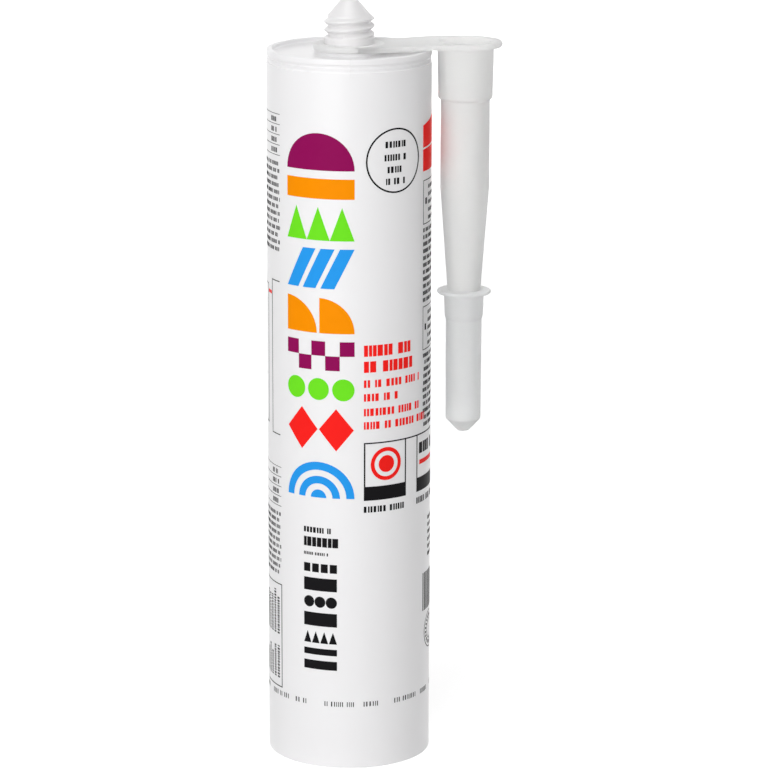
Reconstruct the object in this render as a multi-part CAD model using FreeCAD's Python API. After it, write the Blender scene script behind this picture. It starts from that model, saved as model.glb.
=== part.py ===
import FreeCAD, Part
import math
import os

from FreeCAD import Vector

# A caulk tube, in millimetres. A moulded cartridge holds a fill of sealant behind a piston. The
# nozzle hangs upside down beside it, by a strap and a ring that are moulded in one with it.
# The origin is on the cartridge's axis at its open rear end, +Z points to the nipple, and +X to
# the nozzle.

# Cartridge tube
tube_r = 24.7
tube_wall = 1.3
tube_len = 217.4  # open end to the top of the rim
foot_round = 0.2
mouth_depth = 12.0  # the bore is wider here, so that the piston can be pressed in
mouth_step = 0.4  # how much wider in radius
mouth_taper = 1.0  # length of the cone between the two bores
mouth_chamfer = 0.2

# Rim and head of the cartridge, with heights below the top of the rim
rim_width = 2.3
rim_round = 0.45
bead_height = 1.75
groove_depth = 0.45
groove_height = 0.85
ridge_height = 0.55  # low ridge between the two grooves
ridge_depth = 0.2  # how far the ridge stays inside the tube's radius
groove_slope = 0.1  # height of each groove's sloping side
groove_round = 0.12
bead_round = 0.2
recess_depth = 2.2
recess_round = 0.6
head_thickness = 2.4
head_inner_round = 1.2

# Boss, collar and threaded nipple on the head, with heights above the top of the rim
boss_r = 9.5
boss_drop = 1.05  # the top of the boss below the top of the rim
boss_round = 0.2
collar_r = 7.5
collar_top = 3.3
collar_round = 0.4
collar_cone = 0.5  # height of the cone from the collar to the core
core_r = 6.45
core_top = 9.75
tip_r = 2.74
tip_top = 14.1
tip_round = 0.25
nipple_wall = 1.55
nipple_entry_round = 0.8
tip_wall = 1.5
tip_inner_r = 2.2

# Right-hand thread of the nipple
thread_pitch = 2.47
thread_height = 1.12  # crest above the core
thread_crest = 0.5  # width of the crest
thread_flank_deg = 35.0  # slope of the flanks from square to the axis
thread_foot = 0.2  # how deep the ridge is rooted in its wall
thread_start = 3.38  # height of the crest where the thread begins
thread_start_deg = -109.0
thread_turns = 2.33

# Piston
piston_len = 18.0
piston_clearance = 0.06
piston_web = 1.8
skirt_wall = 1.5
lip_height = 1.4
lip_relief = 0.5  # how far the skirt stays inside the lips
lip_round = 0.3
web_round = 1.0
gusset_count = 8
gusset_reach = 4.5
gusset_thickness = 1.2
gusset_height = 9.0
piston_boss_r = 6.0
piston_boss_height = 1.6
piston_boss_round = 0.4

# Fill of sealant: with its plug in the nipple this length holds 310 ml
fill_len = 180.37
fill_clearance = 0.05

# Hanger ring, strap and flange of the nozzle moulding
ring_width = 3.25
ring_clearance = 0.06  # round the collar
ring_thickness = 1.8
ring_round = 0.5
flange_width = 2.5  # round the socket
flange_thickness = 1.8
flange_round = 0.8
rim_gap = 0.35  # between the flange and the rim that it reaches over
strap_waist = 17.5  # width at the narrowest place
strap_step_run = 3.0  # length over which the strap rises to pass over the rim
strap_step_gap = 2.3  # from the end of that rise to the inside of the rim
strap_thickness = 1.4

# Nozzle body, with lengths below the upper face of its flange
nozzle_gap = 1.5  # between the socket and the cartridge
socket_wall = 0.72
socket_draft = 0.3  # the socket's radius lost over its length
socket_len = 17.1
socket_round = 1.0
socket_fillet = 0.5  # under the flange
socket_cone = 0.6  # length of the step from socket to shaft
socket_bore_clearance = 0.15  # the thread's crests inside the socket's bore
socket_chamfer = 0.4
socket_depth = 14.0
socket_floor = 1.2  # length of the cone from the socket's bore to the channel
shaft_r = 7.35
shaft_end = 44.4  # where the taper begins
taper_round = 3.0
nozzle_len = 110.9
nozzle_tip_r = 2.42
nozzle_edge = 0.2
nozzle_wall = 1.05
nozzle_tip_wall = 0.85
socket_thread_start = 2.6
socket_thread_turns = 3.0
socket_thread_height = 0.85

# Cap pushed over the nozzle's tip, with lengths below its own mouth
cap_overlap = 35.3  # how far the cap reaches up over the nozzle's tip
cap_end_room = 8.6  # from the nozzle's tip to the outside of the closed end
cap_disc_width = 2.05  # round the collar
cap_disc_thickness = 1.1
cap_disc_round = 0.5
cap_collar_wall = 1.0
cap_collar_len = 8.2
cap_collar_draft = 0.3
cap_collar_round = 0.5
cap_collar_cone = 0.8  # length of the step from collar to tube
cap_tube_gap = 0.02  # the tube's bore wider than the collar's seat
cap_tube_draft = 0.11
cap_wall = 0.95
cap_clearance = 0.05  # round the nozzle's taper, in the collar
cap_cone_len = 4.0  # from the shoulder to the closed end
cap_shoulder_round = 0.9
cap_tip_r = 2.85
cap_tip_len = 1.2  # height of the rounded tip
cap_tip_round = 0.9
cap_end_r = 1.7  # flat of the closed end, before its rounding

# Modelling allowances
cut_over = 1.0  # how far a cutting shape runs past the face that it opens
same_point = 1e-6

# Worked out from the sizes above
bore_r = tube_r - tube_wall
mouth_r = bore_r + mouth_step
recess_z = tube_len - recess_depth
head_inner_z = recess_z - head_thickness
boss_z = tube_len - boss_drop
ring_z = boss_z
ring_in_r = collar_r + ring_clearance
ring_r = ring_in_r + ring_width
rim_in_r = tube_r - rim_width
flange_top_z = tube_len + rim_gap + flange_thickness
nipple_bore_r = core_r - nipple_wall
thread_crest_r = core_r + thread_height
socket_bore_r = thread_crest_r + socket_bore_clearance
socket_outer_r = socket_bore_r + socket_wall
flange_r = socket_outer_r + flange_width
nozzle_x = tube_r + nozzle_gap + socket_outer_r  # axis of the nozzle
nozzle_tip_z = flange_top_z - nozzle_len
fill_r = bore_r - fill_clearance
plug_r = nipple_bore_r - fill_clearance
plug_top_z = tube_len + core_top - fill_clearance
piston_front_z = head_inner_z - fill_clearance - fill_len
piston_rear_z = piston_front_z - piston_len
lip_r = bore_r - piston_clearance


def rounded_wire(corners):
    """Closed wire in the XZ plane through corners (x, z, radius), with a tangent arc at each radius."""
    points = [Vector(c[0], 0, c[1]) for c in corners]
    turns = []
    for i, corner in enumerate(corners):
        here = points[i]
        if len(corner) < 3 or corner[2] <= 0:
            turns.append([here])
            continue
        back = (points[i - 1] - here).normalize()
        on = (points[(i + 1) % len(points)] - here).normalize()
        half = back.getAngle(on) / 2
        cut = corner[2] / math.tan(half)
        middle = (back + on).normalize() * (corner[2] / math.sin(half) - corner[2])
        turns.append([here + back * cut, here + middle, here + on * cut])
    edges = []
    for i, turn in enumerate(turns):
        if len(turn) == 3:
            edges.append(Part.Arc(*turn).toShape())
        after = turns[(i + 1) % len(turns)][0]
        if (after - turn[-1]).Length > same_point:
            edges.append(Part.LineSegment(turn[-1], after).toShape())
    return Part.Wire(edges)


def turned(corners, axis_x=0.0):
    """Solid of revolution of a rounded outline of (radius, height, rounding), about a vertical axis."""
    face = Part.Face(rounded_wire(corners))
    solid = face.revolve(Vector(0, 0, 0), Vector(0, 0, 1), 360)
    solid.translate(Vector(axis_x, 0, 0))
    return solid


def screw_ridge(wall_r, crest_r, crest_width, pitch, turns):
    """Right-hand helical ridge on a wall, with sloping flanks and a foot sunk a little into the wall.

    The crest begins at height 0 on +X.
    """
    foot_r = wall_r - math.copysign(thread_foot, crest_r - wall_r)
    flank = abs(crest_r - foot_r) * math.tan(math.radians(thread_flank_deg))
    half_crest = crest_width / 2
    profile = rounded_wire([
        (foot_r, -half_crest - flank),
        (crest_r, -half_crest, half_crest / 2),
        (crest_r, half_crest, half_crest / 2),
        (foot_r, half_crest + flank),
    ])
    helix = Part.makeHelix(pitch, pitch * turns, wall_r)
    return Part.Wire(helix.Edges).makePipeShell([profile], True, True)


def barrel():
    """The cartridge: one revolved wall for tube, rim, head and nipple, with a helical thread."""
    bead_z = tube_len - bead_height
    ridge_top = bead_z - groove_height
    ridge_low = ridge_top - ridge_height
    groove_low = ridge_low - groove_height
    groove_r = tube_r - groove_depth
    ridge_r = tube_r - ridge_depth
    core_foot_z = tube_len + collar_top + collar_cone
    tip_z = tube_len + tip_top
    wall = turned([
        (mouth_r + mouth_chamfer, 0),
        (tube_r, 0, foot_round),
        (tube_r, groove_low),
        (groove_r, groove_low + groove_slope, groove_round),
        (groove_r, ridge_low - groove_slope, groove_round),
        (ridge_r, ridge_low),
        (ridge_r, ridge_top),
        (groove_r, ridge_top + groove_slope, groove_round),
        (groove_r, bead_z - groove_slope, groove_round),
        (tube_r, bead_z, bead_round),
        (tube_r, tube_len, rim_round),
        (rim_in_r, tube_len, rim_round),
        (rim_in_r, recess_z, recess_round),
        (boss_r, recess_z, boss_round),
        (boss_r, boss_z, boss_round),
        (collar_r, boss_z),
        (collar_r, tube_len + collar_top, collar_round),
        (core_r, core_foot_z),
        (core_r, tube_len + core_top, tip_round),
        (tip_r, tip_z, tip_round),
        (0, tip_z),
        (0, tip_z - tip_wall),
        (tip_inner_r, tip_z - tip_wall),
        (nipple_bore_r, tube_len + core_top),
        (nipple_bore_r, head_inner_z, nipple_entry_round),
        (bore_r, head_inner_z, head_inner_round),
        (bore_r, mouth_depth + mouth_taper),
        (mouth_r, mouth_depth),
        (mouth_r, mouth_chamfer),
    ])
    thread = screw_ridge(core_r, thread_crest_r, thread_crest, thread_pitch, thread_turns)
    thread.rotate(Vector(0, 0, 0), Vector(0, 0, 1), thread_start_deg)
    thread.translate(Vector(0, 0, tube_len + thread_start))
    return wall.fuse(thread).removeSplitter()


def piston():
    """Cup that is open to the rear, with a lip at each end and gussets between skirt and web."""
    skirt_r = lip_r - lip_relief
    inner_r = skirt_r - skirt_wall
    web_z = piston_front_z - piston_web
    cup = turned([
        (0, piston_front_z),
        (lip_r, piston_front_z, lip_round),
        (lip_r, piston_front_z - lip_height),
        (skirt_r, piston_front_z - lip_height - lip_relief),
        (skirt_r, piston_rear_z + lip_height + lip_relief),
        (lip_r, piston_rear_z + lip_height),
        (lip_r, piston_rear_z, lip_round),
        (inner_r, piston_rear_z, lip_round),
        (inner_r, web_z, web_round),
        (piston_boss_r, web_z, piston_boss_round),
        (piston_boss_r, web_z - piston_boss_height, piston_boss_round),
        (0, web_z - piston_boss_height),
    ])
    gusset = Part.Face(rounded_wire([
        (inner_r + skirt_wall / 2, web_z + piston_web / 2),
        (inner_r + skirt_wall / 2, web_z - gusset_height),
        (inner_r, web_z - gusset_height),
        (inner_r - gusset_reach, web_z),
        (inner_r - gusset_reach, web_z + piston_web / 2),
    ])).extrude(Vector(0, gusset_thickness, 0))
    gusset.translate(Vector(0, -gusset_thickness / 2, 0))
    gussets = []
    for i in range(gusset_count):
        copy = gusset.copy()
        copy.rotate(Vector(0, 0, 0), Vector(0, 0, 1), 360 * i / gusset_count)
        gussets.append(copy)
    return cup.fuse(gussets).removeSplitter()


def sealant():
    """The fill from the piston's face to the head, with its plug in the hollow nipple."""
    shoulder_z = head_inner_z - fill_clearance
    return turned([
        (0, piston_front_z),
        (fill_r, piston_front_z),
        (fill_r, shoulder_z, head_inner_round),
        (plug_r, shoulder_z, nipple_entry_round),
        (plug_r, plug_top_z),
        (0, plug_top_z),
    ])


def strap():
    """Band from the ring to the flange. Its plan is cut to a waist, and its section steps up over the rim."""
    half_waist = strap_waist / 2
    waist_x = nozzle_x / 2
    waist_r = (waist_x ** 2 + half_waist ** 2 - ring_r ** 2) / (2 * (ring_r - half_waist))
    low_z = ring_z + ring_thickness - strap_thickness
    high_z = flange_top_z - strap_thickness
    step_end_x = rim_in_r - strap_step_gap
    step_x = step_end_x - strap_step_run
    bend = strap_thickness
    section = Part.Face(rounded_wire([
        (0, low_z),
        (step_x, low_z, bend),
        (step_end_x, high_z, bend),
        (nozzle_x, high_z),
        (nozzle_x, high_z + strap_thickness),
        (step_end_x, high_z + strap_thickness, bend),
        (step_x, low_z + strap_thickness, bend),
        (0, low_z + strap_thickness),
    ]))
    band = section.extrude(Vector(0, 2 * ring_r, 0))
    band.translate(Vector(0, -ring_r, 0))
    deep = flange_top_z - ring_z
    for side in (1, -1):
        cutter = Part.makeCylinder(waist_r, deep, Vector(waist_x, side * (half_waist + waist_r), ring_z))
        band = band.cut(cutter)
    return band


def nozzle():
    """Ring, strap, flange, threaded socket and tapered spout: one hollow moulding, open at both ends."""
    ring = turned([
        (0, ring_z),
        (ring_r, ring_z, ring_round),
        (ring_r, ring_z + ring_thickness, ring_round),
        (0, ring_z + ring_thickness),
    ])
    shaft_z = flange_top_z - shaft_end
    socket_end_z = flange_top_z - socket_len
    body = turned([
        (0, flange_top_z),
        (flange_r, flange_top_z, flange_round),
        (flange_r, flange_top_z - flange_thickness, flange_round),
        (socket_outer_r, flange_top_z - flange_thickness, socket_fillet),
        (socket_outer_r - socket_draft, socket_end_z, socket_round),
        (shaft_r, socket_end_z - socket_cone, nozzle_edge),
        (shaft_r, shaft_z, taper_round),
        (nozzle_tip_r, nozzle_tip_z, nozzle_edge),
        (0, nozzle_tip_z),
    ], nozzle_x)
    outside = ring.fuse([strap(), body])

    ring_hole = Part.makeCylinder(ring_in_r, ring_thickness + 2 * cut_over, Vector(0, 0, ring_z - cut_over))
    channel_r = shaft_r - nozzle_wall
    tip_bore_r = nozzle_tip_r - nozzle_tip_wall
    channel = turned([
        (0, flange_top_z + cut_over),
        (socket_bore_r + socket_chamfer + cut_over, flange_top_z + cut_over),
        (socket_bore_r, flange_top_z - socket_chamfer),
        (socket_bore_r, flange_top_z - socket_depth, socket_chamfer),
        (channel_r, flange_top_z - socket_depth - socket_floor, socket_chamfer),
        (channel_r, shaft_z, taper_round),
        (tip_bore_r, nozzle_tip_z),
        (tip_bore_r, nozzle_tip_z - cut_over),
        (0, nozzle_tip_z - cut_over),
    ], nozzle_x)
    moulding = outside.cut([ring_hole, channel])

    ridge = screw_ridge(
        socket_bore_r, socket_bore_r - socket_thread_height, thread_crest, thread_pitch, socket_thread_turns
    )
    ridge_len = thread_pitch * socket_thread_turns
    ridge.translate(Vector(nozzle_x, 0, flange_top_z - socket_thread_start - ridge_len))
    return moulding.fuse(ridge).removeSplitter()


def taper_r(above_tip):
    """Outside radius of the nozzle's taper at a height above its tip."""
    return nozzle_tip_r + (shaft_r - nozzle_tip_r) * above_tip / (nozzle_len - shaft_end)


def nozzle_cap():
    """Closed cap: a grip disc, a collar that seats on the nozzle's taper, and a tube with a conical end."""
    mouth_z = nozzle_tip_z + cap_overlap
    collar_end_z = mouth_z - cap_collar_len
    tube_top_z = collar_end_z - cap_collar_cone
    end_z = nozzle_tip_z - cap_end_room
    shoulder_z = end_z + cap_cone_len
    tip_z = end_z + cap_tip_len
    seat_r = taper_r(cap_overlap) + cap_clearance
    seat_end_r = taper_r(cap_overlap - cap_collar_len) + cap_clearance
    collar_out_r = seat_r + cap_collar_wall
    disc_r = collar_out_r + cap_disc_width
    tube_in_r = seat_end_r + cap_tube_gap
    tube_out_r = tube_in_r + cap_wall
    tip_in_r = cap_tip_r - cap_wall / 2
    return turned([
        (seat_r, mouth_z),
        (disc_r, mouth_z, cap_disc_round),
        (disc_r, mouth_z - cap_disc_thickness, cap_disc_round),
        (collar_out_r, mouth_z - cap_disc_thickness),
        (collar_out_r - cap_collar_draft, collar_end_z, cap_collar_round),
        (tube_out_r, tube_top_z),
        (tube_out_r - cap_tube_draft, shoulder_z, cap_shoulder_round),
        (cap_tip_r, tip_z, cap_tip_round),
        (cap_end_r, end_z, cap_tip_round),
        (0, end_z),
        (0, end_z + cap_wall),
        (tip_in_r / 2, end_z + cap_wall),
        (tip_in_r, tip_z + cap_wall / 2),
        (tube_in_r - cap_tube_draft, shoulder_z, cap_shoulder_round),
        (tube_in_r, tube_top_z),
        (seat_end_r, collar_end_z),
    ], nozzle_x)


os.makedirs("parts", exist_ok=True)
nodes = {
    "barrel": barrel(),
    "piston": piston(),
    "sealant": sealant(),
    "nozzle": nozzle(),
    "nozzle_cap": nozzle_cap(),
}
for name, shape in nodes.items():
    shape.exportStep("parts/" + name + ".step")
    box = shape.BoundBox
    print(
        name, shape.isValid(), len(shape.Solids), "solid,", round(shape.Volume, 1), "mm3, z",
        round(box.ZMin, 2), "to", round(box.ZMax, 2), ", x", round(box.XMin, 2), "to", round(box.XMax, 2)
    )
print("piston from", round(piston_rear_z, 3), "to", round(piston_front_z, 3))
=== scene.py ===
import math

import bmesh
import bpy
import numpy as np
from mathutils import Matrix, Vector


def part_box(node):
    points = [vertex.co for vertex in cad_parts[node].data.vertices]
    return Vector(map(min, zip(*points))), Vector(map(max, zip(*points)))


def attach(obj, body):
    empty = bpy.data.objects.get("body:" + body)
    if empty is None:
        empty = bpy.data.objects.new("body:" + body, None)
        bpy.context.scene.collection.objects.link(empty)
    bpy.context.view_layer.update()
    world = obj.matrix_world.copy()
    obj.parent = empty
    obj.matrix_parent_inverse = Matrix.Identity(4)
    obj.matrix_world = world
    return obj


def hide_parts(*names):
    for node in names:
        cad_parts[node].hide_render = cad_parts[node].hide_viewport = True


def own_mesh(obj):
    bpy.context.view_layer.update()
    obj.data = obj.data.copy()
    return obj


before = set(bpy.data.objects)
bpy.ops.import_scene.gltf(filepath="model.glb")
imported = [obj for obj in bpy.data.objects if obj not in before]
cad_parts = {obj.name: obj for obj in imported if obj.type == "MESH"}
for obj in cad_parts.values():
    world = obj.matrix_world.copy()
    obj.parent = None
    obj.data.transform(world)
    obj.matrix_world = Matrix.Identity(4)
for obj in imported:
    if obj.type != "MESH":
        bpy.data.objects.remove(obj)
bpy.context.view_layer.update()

# A caulk cartridge with its capped nozzle hung beside it by a strap. Lengths are in millimetres until
# a mesh is made, which turns them into metres. The cartridge's axis is Z and the camera is at -Y.
MM = 0.001


def corners_mm(node):
    """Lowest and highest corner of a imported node, in millimetres."""
    low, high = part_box(node)
    return low / MM, high / MM


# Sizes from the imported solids
barrel_high = corners_mm("barrel")[1]
nozzle_low, nozzle_high = corners_mm("nozzle")
cap_low, cap_high = corners_mm("nozzle_cap")
piston_low, piston_high = corners_mm("piston")
fill_low, fill_high = corners_mm("sealant")
tube_r = barrel_high.y
tip_z = barrel_high.z
flange_top_z = nozzle_high.z
nozzle_tip_z = nozzle_low.z
ring_r = -nozzle_low.x
nozzle_x = (cap_low.x + cap_high.x) / 2
flange_r = nozzle_high.x - nozzle_x
cap_disc_r = cap_high.x - nozzle_x
lip_r = piston_high.y
fill_r = fill_high.y

# Tube, rim and head of the cartridge
tip_top = 14.1
tube_len = tip_z - tip_top
tube_wall = 1.3
bore_r = tube_r - tube_wall
foot_round = 0.2
mouth_r = bore_r + 0.4
mouth_depth = 12.0
mouth_taper = 1.0
mouth_chamfer = 0.2
mouth_round = 0.05
rim_width = 1.9
rim_round = 0.45
bead_height = 1.75
groove_depth = 0.45
groove_height = 0.85
ridge_height = 0.55
ridge_depth = 0.2
ridge_round = 0.08
groove_slope = 0.1
groove_round = 0.12
groove_foot_round = 0.15
bead_round = 0.2
recess_z = tube_len - 1.4
recess_round = 0.6
head_inner_z = tube_len - 4.6
head_inner_round = 1.2
boss_r = 10.4
boss_z = tube_len - 0.5
boss_round = 0.2

# Collar, nipple and its thread
collar_r = 7.5
collar_top = 3.3
collar_round = 0.4
collar_cone = 0.5
collar_foot_round = 0.25
core_r = 6.45
core_top = 9.75
tip_r = 2.74
tip_round = 0.25
tip_wall = 1.5
tip_inner_r = 2.2
nipple_bore_r = core_r - 1.55
nipple_entry_round = 0.8
thread_pitch = 2.47
thread_height = 1.12
thread_crest = 0.5
thread_flank = math.tan(math.radians(35.0))
thread_start = 3.38
thread_start_angle = math.radians(-109.0)
thread_turns = 2.33

# Hanger ring, strap and spout of the nozzle moulding
ring_in_r = collar_r + 0.06
ring_thickness = 1.8
ring_round = 0.5
ring_foot_round = 0.12
ring_hole_round = 0.2
flange_thickness = 1.8
flange_round = 0.8
strap_waist = 19.0
strap_thickness = 1.7
strap_edge = 0.3
strap_bend = 1.5 * strap_thickness
strap_inset = 0.02
strap_rise_start = ring_r + 0.6
strap_rise_end = tube_r - 0.7
socket_bore_r = core_r + thread_height + 0.15
socket_outer_r = socket_bore_r + 0.72
socket_draft = 0.3
socket_len = 17.1
socket_round = 1.0
socket_fillet = 0.5
socket_cone = 0.6
socket_chamfer = 0.4
socket_depth = 14.0
socket_floor = 1.2
socket_thread_start = 2.6
socket_thread_turns = 3.0
socket_thread_height = 0.85
shaft_r = 7.35
shaft_end = 44.4
taper_round = 3.0
nozzle_tip_r = 2.42
nozzle_edge = 0.2
channel_r = shaft_r - 1.05
tip_bore_r = nozzle_tip_r - 0.85
nozzle_len = flange_top_z - nozzle_tip_z

# Cap, with lengths below its mouth
cap_mouth_z = cap_high.z
cap_end_z = cap_low.z
cap_wall = 0.95
cap_disc_width = 2.05
cap_disc_thickness = 1.1
cap_disc_round = 0.5
cap_collar_wall = 1.0
cap_collar_len = 8.2
cap_collar_draft = 0.3
cap_collar_round = 0.5
cap_collar_cone = 0.8
cap_tube_gap = 0.02
cap_tube_draft = 0.11
cap_cone_len = 4.0
cap_shoulder_round = 0.9
cap_tip_r = 2.85
cap_tip_len = 1.2
cap_tip_round = 0.9
cap_end_r = 1.7

# Piston
skirt_r = lip_r - 0.5
skirt_in_r = skirt_r - 1.5
lip_height = 1.4
lip_relief = 0.5
lip_round = 0.3
piston_web = 1.8
web_round = 1.0
gusset_count = 8
gusset_reach = 4.5
gusset_thickness = 1.2
gusset_height = 9.0
piston_boss_r = 6.0
piston_boss_height = 1.6
piston_boss_round = 0.4

# Mesh fineness
SEGMENTS = 256
ARC_STEP = math.radians(10.0)
HOLD = 0.2
THREAD_ROW = 0.09
THREAD_BLEND = 0.1
SHARP = math.radians(35.0)

# Print on the cartridge
ink_lift = 0.03
ink_sink = 0.08
ink_step = 0.7


def rounded(corners, closed=False):
    """Outline through corners (radius, height, rounding), with a tangent arc where a rounding is given.

    Each arc is its centre plus its radius times sine and cosine. Every straight run has a hold point
    close to each of its ends, which keeps the shading of the run apart from that of the arcs.
    """
    points = np.array([c[:2] for c in corners], float)
    count = len(points)
    pieces = []
    for i, corner in enumerate(corners):
        inner = closed or 0 < i < count - 1
        radius = corner[2] if len(corner) > 2 and inner else 0.0
        if radius <= 0:
            pieces.append(points[i:i + 1])
            continue
        back = points[i - 1] - points[i]
        on = points[(i + 1) % count] - points[i]
        back, on = back / np.linalg.norm(back), on / np.linalg.norm(on)
        half = math.acos(float(np.clip(back @ on, -1, 1))) / 2
        middle = (back + on) / np.linalg.norm(back + on)
        centre = points[i] + middle * radius / math.sin(half)
        sweep = math.pi - 2 * half
        first = points[i] + back * radius / math.tan(half) - centre
        side = math.copysign(1.0, back[0] * on[1] - back[1] * on[0])
        steps = max(2, math.ceil(sweep / ARC_STEP))
        turn = -side * np.linspace(0, sweep, steps + 1)
        cos, sin = np.cos(turn), np.sin(turn)
        arc = np.stack([first[0] * cos - first[1] * sin, first[0] * sin + first[1] * cos], 1)
        pieces.append(centre + arc)
    outline = []
    for i, piece in enumerate(pieces):
        outline.append(piece)
        if i == count - 1 and not closed:
            break
        start, end = piece[-1], pieces[(i + 1) % count][0]
        length = np.linalg.norm(end - start)
        if length > 3 * HOLD:
            outline.append(start + (end - start) * HOLD / length)
            outline.append(end - (end - start) * HOLD / length)
    return np.vstack([np.atleast_2d(p) for p in outline])


def finer(outline, low, high, row):
    """The outline with extra points, a row's height apart, where it lies between two heights."""
    parts = []
    for a, b in zip(outline[:-1], outline[1:]):
        inside = min(a[1], b[1]) >= low and max(a[1], b[1]) <= high
        count = max(1, math.ceil(abs(b[1] - a[1]) / row)) if inside else 1
        share = np.arange(count)[:, None] / count
        parts.append(a + (b - a) * share)
    return np.vstack([*parts, outline[-1:]])


def lattice(rows, columns, wrap_rows=False, wrap_columns=False):
    """Quads between the neighbouring points of a grid that is numbered row by row."""
    i, j = np.meshgrid(
        np.arange(rows if wrap_rows else rows - 1),
        np.arange(columns if wrap_columns else columns - 1),
        indexing="ij",
    )
    below, beside = (i + 1) % rows, (j + 1) % columns
    quads = [i * columns + j, i * columns + beside, below * columns + beside, below * columns + j]
    return np.stack(quads, -1).reshape(-1, 4)


def outward(points, quads):
    """The quads, turned over if the volume that they enclose comes out negative."""
    a, b, c, d = (points[quads[:, k]] for k in range(4))
    volume = np.einsum("ij,ij->", a, np.cross(b, c)) + np.einsum("ij,ij->", a, np.cross(c, d))
    return quads if volume > 0 else quads[:, ::-1]


def new_piece(name, points, quads, material):
    """A mesh object in metres from points in millimetres: doubles merged, shaded smooth up to SHARP."""
    mesh = bpy.data.meshes.new(name)
    mesh.vertices.add(len(points))
    mesh.vertices.foreach_set("co", (points * MM).astype(np.float32).ravel())
    mesh.loops.add(4 * len(quads))
    mesh.loops.foreach_set("vertex_index", quads.astype(np.int32).ravel())
    mesh.polygons.add(len(quads))
    mesh.polygons.foreach_set("loop_start", np.arange(len(quads), dtype=np.int32) * 4)
    mesh.update(calc_edges=True)
    work = bmesh.new()
    work.from_mesh(mesh)
    bmesh.ops.remove_doubles(work, verts=work.verts, dist=1e-7)
    bmesh.ops.dissolve_degenerate(work, edges=work.edges, dist=1e-8)
    work.to_mesh(mesh)
    work.free()
    mesh.materials.append(material)
    obj = bpy.data.objects.new(name, mesh)
    bpy.context.scene.collection.objects.link(obj)
    smooth(mesh)
    return obj


def smooth(mesh):
    """Smooth shading, with a hard edge wherever two faces meet at more than SHARP."""
    mesh.polygons.foreach_set("use_smooth", np.ones(len(mesh.polygons), dtype=bool))
    mesh.set_sharp_from_angle(angle=SHARP)
    mesh.update()


def turned(outline, axis_x=0.0, closed=False, radius=None, segments=SEGMENTS):
    """Surface of revolution: x is radius times cosine, y radius times sine, z the outline's height.

    radius(r, z, angle) may change the radius over the whole grid, as a thread does.
    """
    angle = np.linspace(0, 2 * math.pi, segments, endpoint=False)[None, :]
    r = np.repeat(outline[:, :1], segments, 1)
    z = np.repeat(outline[:, 1:], segments, 1)
    if radius is not None:
        r = radius(r, z, angle)
    points = np.stack([axis_x + r * np.cos(angle), r * np.sin(angle), z], -1).reshape(-1, 3)
    quads = lattice(len(outline), segments, wrap_rows=closed, wrap_columns=True)
    return points, outward(points - [axis_x, 0, 0], quads)


def smooth_max(a, b, width):
    """The larger of two arrays, with the corner between them rounded over a width."""
    return (a + b + np.sqrt((a - b) ** 2 + width ** 2)) / 2


def fade(share):
    """Smooth step from 0 to 1: three times the square less twice the cube."""
    share = np.clip(share, 0, 1)
    return share * share * (3 - 2 * share)


def helix_height(z, angle, start_z, start_angle, turns, height):
    """Height of a right-hand ridge above its wall, negative away from it.

    The crest climbs one pitch in a turn. Its height falls along each flank with the distance from the
    nearest crest, and fades in over a few degrees at its blunt start and over more at its run-out.
    """
    part = ((angle - start_angle) / (2 * math.pi)) % 1.0
    whole = np.round((z - start_z) / thread_pitch - part)
    along = part + np.clip(whole, 0, math.floor(turns))
    away = np.abs(z - start_z - thread_pitch * along)
    slope = np.maximum(away - thread_crest / 2, 0) / thread_flank
    ends = fade(along / 0.016) * fade((turns - along) / 0.05)
    return (height + core_r - slope) * ends - core_r


def nipple_thread(r, z, angle):
    """The nipple's radius: the larger of the turned wall and the ridge round its core."""
    ridge = core_r + helix_height(
        z, angle, tube_len + thread_start, thread_start_angle, thread_turns, thread_height
    )
    inside = (r < nipple_bore_r + 0.01) | (z < tube_len + collar_top - 1.5)
    return np.where(inside, r, smooth_max(r, ridge, THREAD_BLEND))


def socket_thread(r, z, angle):
    """The socket's radius: the smaller of the turned bore and the ridge that stands in from it."""
    length = thread_pitch * socket_thread_turns
    start = flange_top_z - socket_thread_start - length
    ridge = socket_bore_r - helix_height(z, angle, start, 0.0, socket_thread_turns, socket_thread_height)
    bore = (np.abs(r - socket_bore_r) < 0.01) & (z < flange_top_z - socket_chamfer / 2)
    return np.where(bore, -smooth_max(-r, -ridge, THREAD_BLEND), r)


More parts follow.
